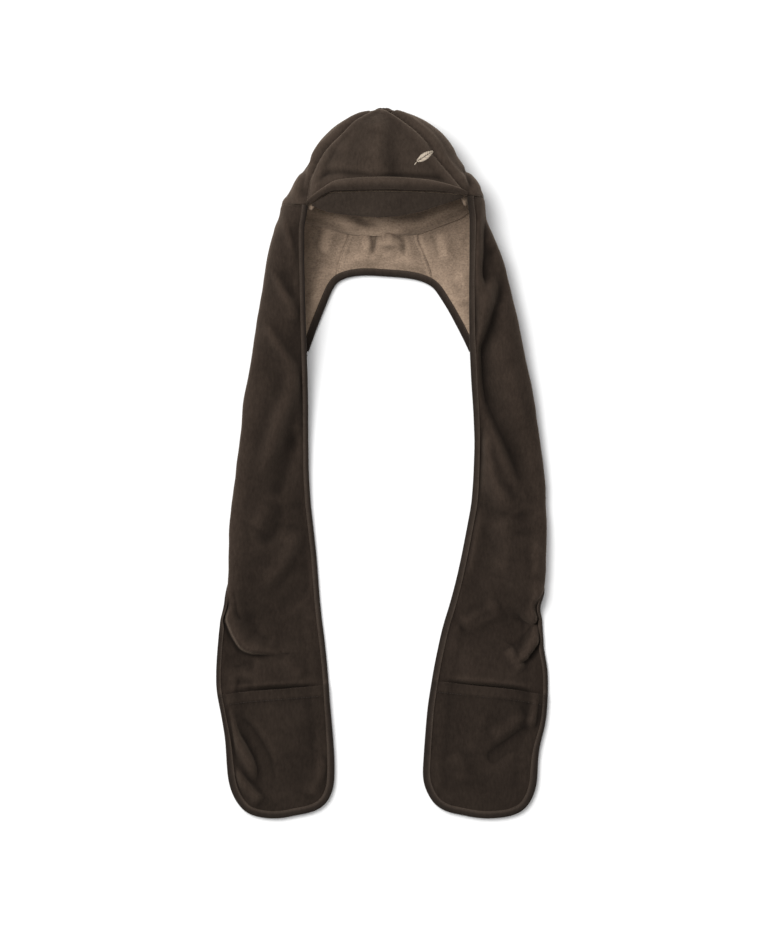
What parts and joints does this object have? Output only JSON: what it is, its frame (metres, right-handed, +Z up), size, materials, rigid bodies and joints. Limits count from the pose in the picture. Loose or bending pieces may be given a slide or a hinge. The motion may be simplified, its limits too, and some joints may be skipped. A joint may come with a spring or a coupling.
{
  "type": "hooded scarf",
  "caption": "Soft hood with a short padded visor that runs down into two long scarf ends with hand pockets, lying flat on its back.",
  "frame": {"origin": "on the floor under the middle of the overall box", "axes": "+X across to the right as seen from above, +Y from the pocket ends to the top of the head, +Z up from the floor through the face opening"},
  "size_m": [0.3978, 0.851, 0.0843],
  "materials": {
    "crown_fleece": "brushed dark brown fleece",
    "visor_fleece": "dark brown fleece over soft padding",
    "scarf_fleece": "brushed dark brown fleece, two layers",
    "lining": "nubby beige fleece lining",
    "edge_tape": "dark brown stretch binding, folded over the edge"
  },
  "bodies": {
    "root": {"crown_front_panel": "crown_fleece", "crown_side_panel_left": "crown_fleece", "crown_side_panel_right": "crown_fleece", "crown_back_panel": "crown_fleece", "crown_top_gather": "crown_fleece", "crown_lining": "lining", "visor_roll": "crown_fleece", "visor": "visor_fleece", "neck_panel_center": "scarf_fleece", "neck_lining_center": "lining", "neck_lining_left": "lining", "neck_lining_right": "lining", "scarf_left": "scarf_fleece", "scarf_right": "scarf_fleece", "pocket_left": "scarf_fleece", "pocket_right": "scarf_fleece", "edge_binding_left": "edge_tape", "edge_binding_right": "edge_tape", "neck_binding": "edge_tape"}
  },
  "joints": []
}
